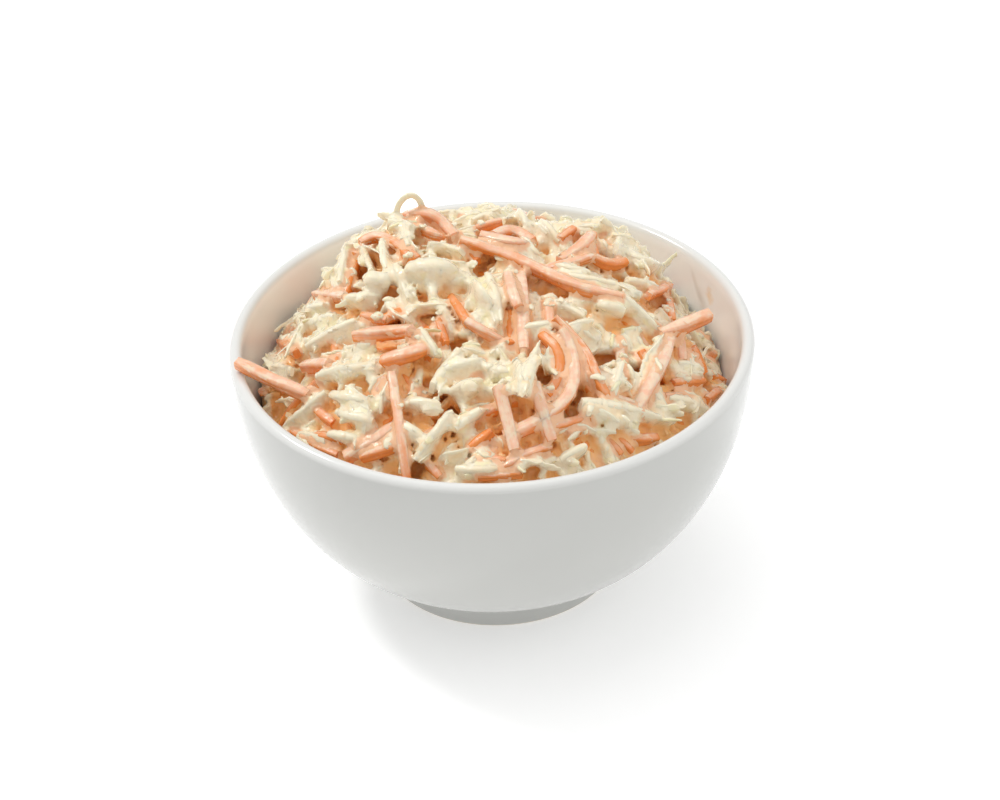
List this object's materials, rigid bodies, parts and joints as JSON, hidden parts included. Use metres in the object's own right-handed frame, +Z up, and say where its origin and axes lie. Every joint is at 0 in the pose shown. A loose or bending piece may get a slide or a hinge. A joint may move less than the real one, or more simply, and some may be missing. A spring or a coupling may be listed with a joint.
{
  "type": "coleslaw in a bowl",
  "caption": "Round deep bowl on a foot ring, filled and heaped with shredded cabbage and carrot in a creamy dressing.",
  "frame": {"origin": "middle of the bowl's foot ring, on the surface that it stands on", "axes": "+Z up along the bowl's turning axis, -Y towards the side that the picture shows"},
  "size_m": [0.14, 0.14, 0.0983],
  "materials": {
    "porcelain": "glossy white glaze",
    "coleslaw": "moist cream dressing over pale cabbage and orange carrot"
  },
  "bodies": {
    "root": {"bowl": "porcelain", "coleslaw": "coleslaw"}
  },
  "joints": []
}
